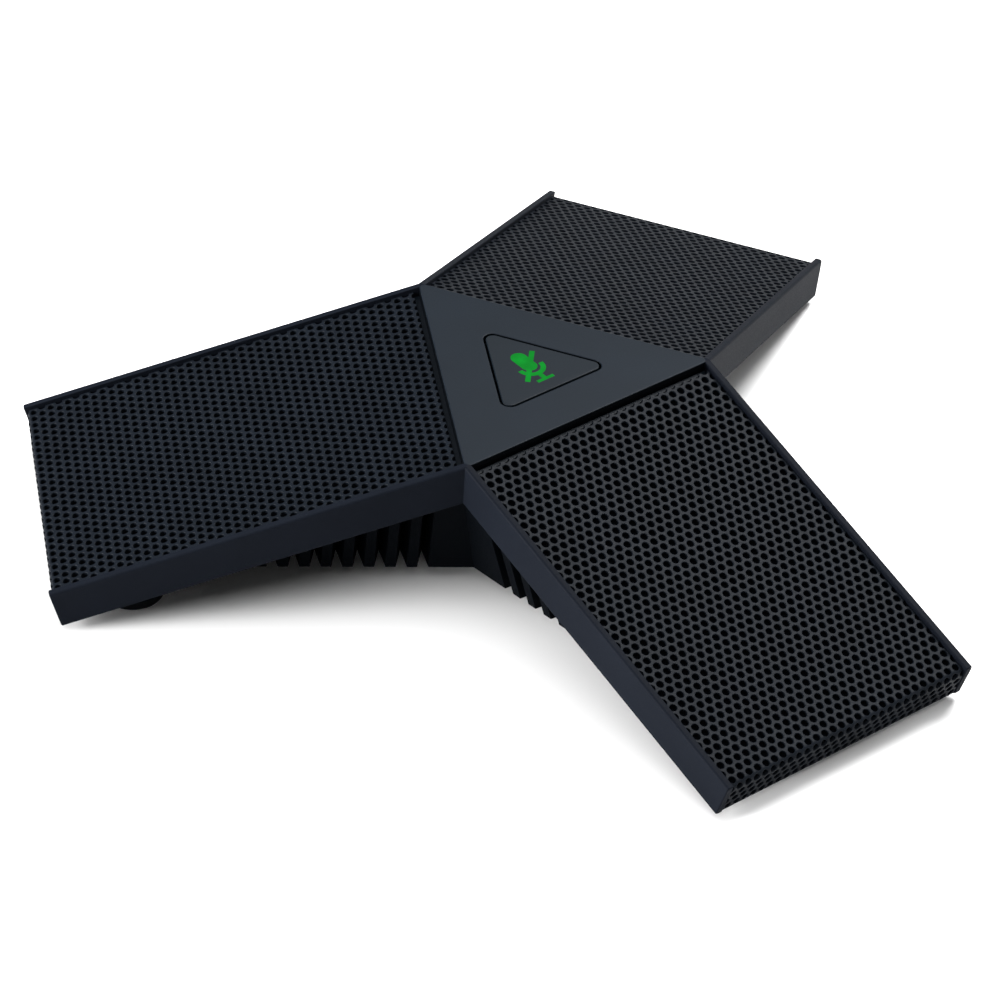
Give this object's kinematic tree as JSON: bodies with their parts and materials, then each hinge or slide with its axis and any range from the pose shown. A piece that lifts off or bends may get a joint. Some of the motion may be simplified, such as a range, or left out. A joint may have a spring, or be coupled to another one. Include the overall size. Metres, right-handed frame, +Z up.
{
  "type": "conference speakerphone",
  "caption": "Low table-top conference speakerphone with sloping perforated arms, a lit triangular mute key on a flat hub and a louvred base on rubber feet.",
  "frame": {"origin": "centre of the bounding box on the table plane, under the feet; the hub's axis stands 7.7 mm towards +X from it", "axes": "+Z up from the table; -X along the left arm, so the other two arms point 60 degrees either side of +X; +Y towards the rear arm"},
  "size_m": [0.1234, 0.1424, 0.0246],
  "materials": {
    "frame_plastic": "fine satin-matt texture, dark slate",
    "base_plastic": "matt black",
    "grille_metal": "powder-coated perforated sheet, dark slate",
    "acoustic_cloth": "thin black woven cloth",
    "foot_rubber": "matt black rubber",
    "icon_lens": "translucent, lit green from behind",
    "light_guide": "clear moulded light guide",
    "silicone": "translucent grey silicone",
    "pale_plastic": "pale moulded plastic",
    "circuit_board": "green solder mask",
    "bright_metal": "bright steel",
    "gold_contact": "gold-plated contact",
    "flex_tape": "amber flexible circuit",
    "speaker_black": "black pulp and pressed frame"
  },
  "bodies": {
    "housing": {"top_frame": "frame_plastic", "bottom_shell": "base_plastic", "base_cover": "base_plastic", "grille_left": "grille_metal", "grille_front": "grille_metal", "grille_rear": "grille_metal", "acoustic_cloth_left": "acoustic_cloth", "acoustic_cloth_front": "acoustic_cloth", "acoustic_cloth_rear": "acoustic_cloth", "foot_left_a": "foot_rubber", "foot_left_b": "foot_rubber", "foot_front_a": "foot_rubber", "foot_front_b": "foot_rubber", "foot_rear_a": "foot_rubber", "foot_rear_b": "foot_rubber", "return_dome": "silicone", "switch_body": "base_plastic", "status_led": "pale_plastic", "main_board": "circuit_board", "shield_can": "bright_metal", "audio_chip": "base_plastic", "flex_sockets": "pale_plastic", "cable_socket": "base_plastic", "socket_contacts": "gold_contact", "socket_board": "circuit_board", "socket_flex": "flex_tape", "mic_board_left": "circuit_board", "mic_board_front": "circuit_board", "mic_board_rear": "circuit_board", "mic_capsule_left": "bright_metal", "mic_capsule_front": "bright_metal", "mic_capsule_rear": "bright_metal", "mic_boot_left": "foot_rubber", "mic_boot_front": "foot_rubber", "mic_boot_rear": "foot_rubber", "mic_flex_left": "flex_tape", "mic_flex_front": "flex_tape", "mic_flex_rear": "flex_tape", "speaker_basket": "speaker_black", "speaker_magnet": "bright_metal", "speaker_cone": "speaker_black", "speaker_surround": "foot_rubber", "speaker_gasket": "foot_rubber", "speaker_leads": "flex_tape", "housing_screws": "bright_metal", "cover_screws": "bright_metal", "board_screws": "bright_metal"},
    "mute_button": {"mute_key": "frame_plastic", "icon_lens": "icon_lens", "light_guide": "light_guide", "switch_plunger": "pale_plastic"}
  },
  "joints": [
    {"name": "mute_press", "type": "slide", "parent": "housing", "child": "mute_button", "axis": [0, 0, -1], "range_m": [0, 0.00035], "stiffness_N_per_m": 600, "springref_m": -0.0015, "deforming": ["return_dome"]}
  ]
}
